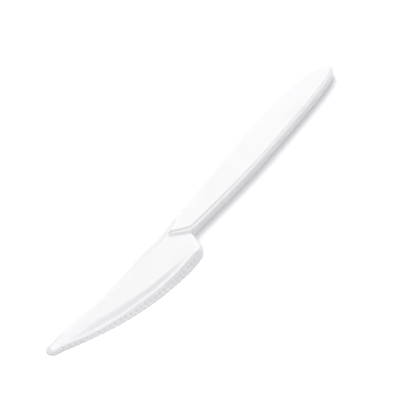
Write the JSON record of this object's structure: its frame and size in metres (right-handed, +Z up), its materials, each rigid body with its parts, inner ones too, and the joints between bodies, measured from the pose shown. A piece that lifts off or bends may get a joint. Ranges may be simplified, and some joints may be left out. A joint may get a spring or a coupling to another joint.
{
  "type": "disposable knife",
  "caption": "White moulded plastic table knife with a round-heeled, finely toothed blade and a hollow-backed handle with a raised flat top.",
  "frame": {"origin": "middle of the knife's bounding box in plan, on the table it lies on", "axes": "+X from the blade's tip to the handle's end, +Y towards the spine, +Z up from the table"},
  "size_m": [0.165, 0.0222, 0.004],
  "materials": {
    "white_plastic": "smooth injection-moulded white polystyrene with a soft gloss"
  },
  "bodies": {
    "root": {"knife": "white_plastic"}
  },
  "joints": []
}
